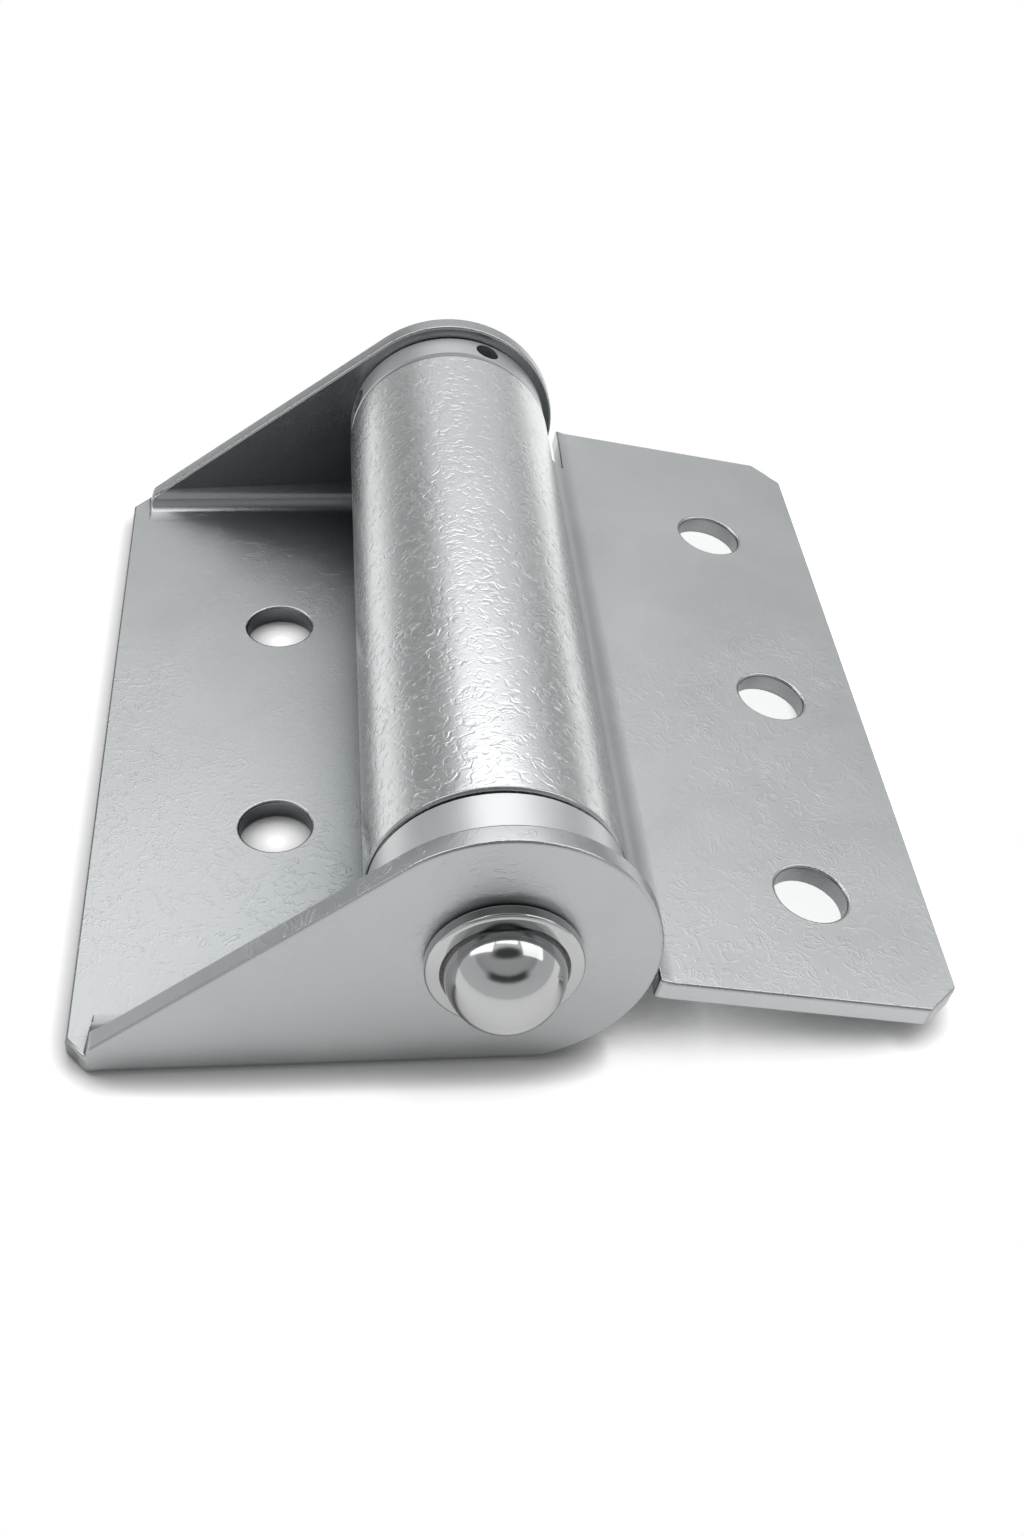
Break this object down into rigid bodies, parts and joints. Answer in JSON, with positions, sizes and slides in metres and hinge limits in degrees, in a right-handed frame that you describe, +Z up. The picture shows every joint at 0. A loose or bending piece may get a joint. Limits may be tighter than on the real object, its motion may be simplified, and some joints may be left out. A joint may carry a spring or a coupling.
{
  "type": "spring hinge",
  "caption": "Sprung hinge: bent bracket with two teardrop ears, a leaf rolled into a barrel round a torsion spring, and a pin with a polished domed cap.",
  "frame": {"origin": "midway between the bracket's two screw holes, on its mounting face", "axes": "+Z up from the bracket's mounting face, +Y along the pin away from the domed cap, +X from the pin towards the swinging leaf"},
  "size_m": [0.1172, 0.1436, 0.04],
  "materials": {
    "zinc_sheet": "bright zinc plate, satin",
    "zinc_sheet_leaf": "bright zinc plate, satin",
    "zinc_spindle": "bright zinc plate",
    "zinc_ring": "bright zinc plate, turned",
    "polished_cap": "polished",
    "spring_steel": "hardened spring steel",
    "spring_wire": "oiled spring wire",
    "washer_steel": "plain steel",
    "dark_steel": "blackened steel",
    "nylon": "natural nylon"
  },
  "bodies": {
    "base": {"bracket": "zinc_sheet", "spindle": "zinc_spindle", "push_nut": "spring_steel", "dome_cap": "polished_cap", "front_thrust_washer": "washer_steel", "rear_thrust_washer": "washer_steel", "spring_sleeve": "nylon", "torsion_spring": "spring_wire"},
    "leaf": {"leaf": "zinc_sheet_leaf", "barrel": "zinc_sheet_leaf", "drive_plug": "zinc_ring", "drive_pin": "dark_steel", "front_bush": "nylon", "rear_bush": "nylon", "barrel_washer": "washer_steel"},
    "collar": {"tension_collar": "zinc_ring", "spring_hub": "zinc_ring", "set_screw": "dark_steel"}
  },
  "joints": [
    {"name": "leaf_swing", "type": "hinge", "parent": "base", "child": "leaf", "pos_m": [0.0293, -0.0015, 0.02], "axis": [0, -1, 0], "range_deg": [0, 155], "stiffness_Nm_per_rad": 1.2, "deforming": ["torsion_spring"]},
    {"name": "collar_turn", "type": "hinge", "parent": "base", "child": "collar", "pos_m": [0.0293, 0.05685, 0.02], "axis": [0, -1, 0], "range_deg": [0, 180], "deforming": ["torsion_spring"]}
  ]
}
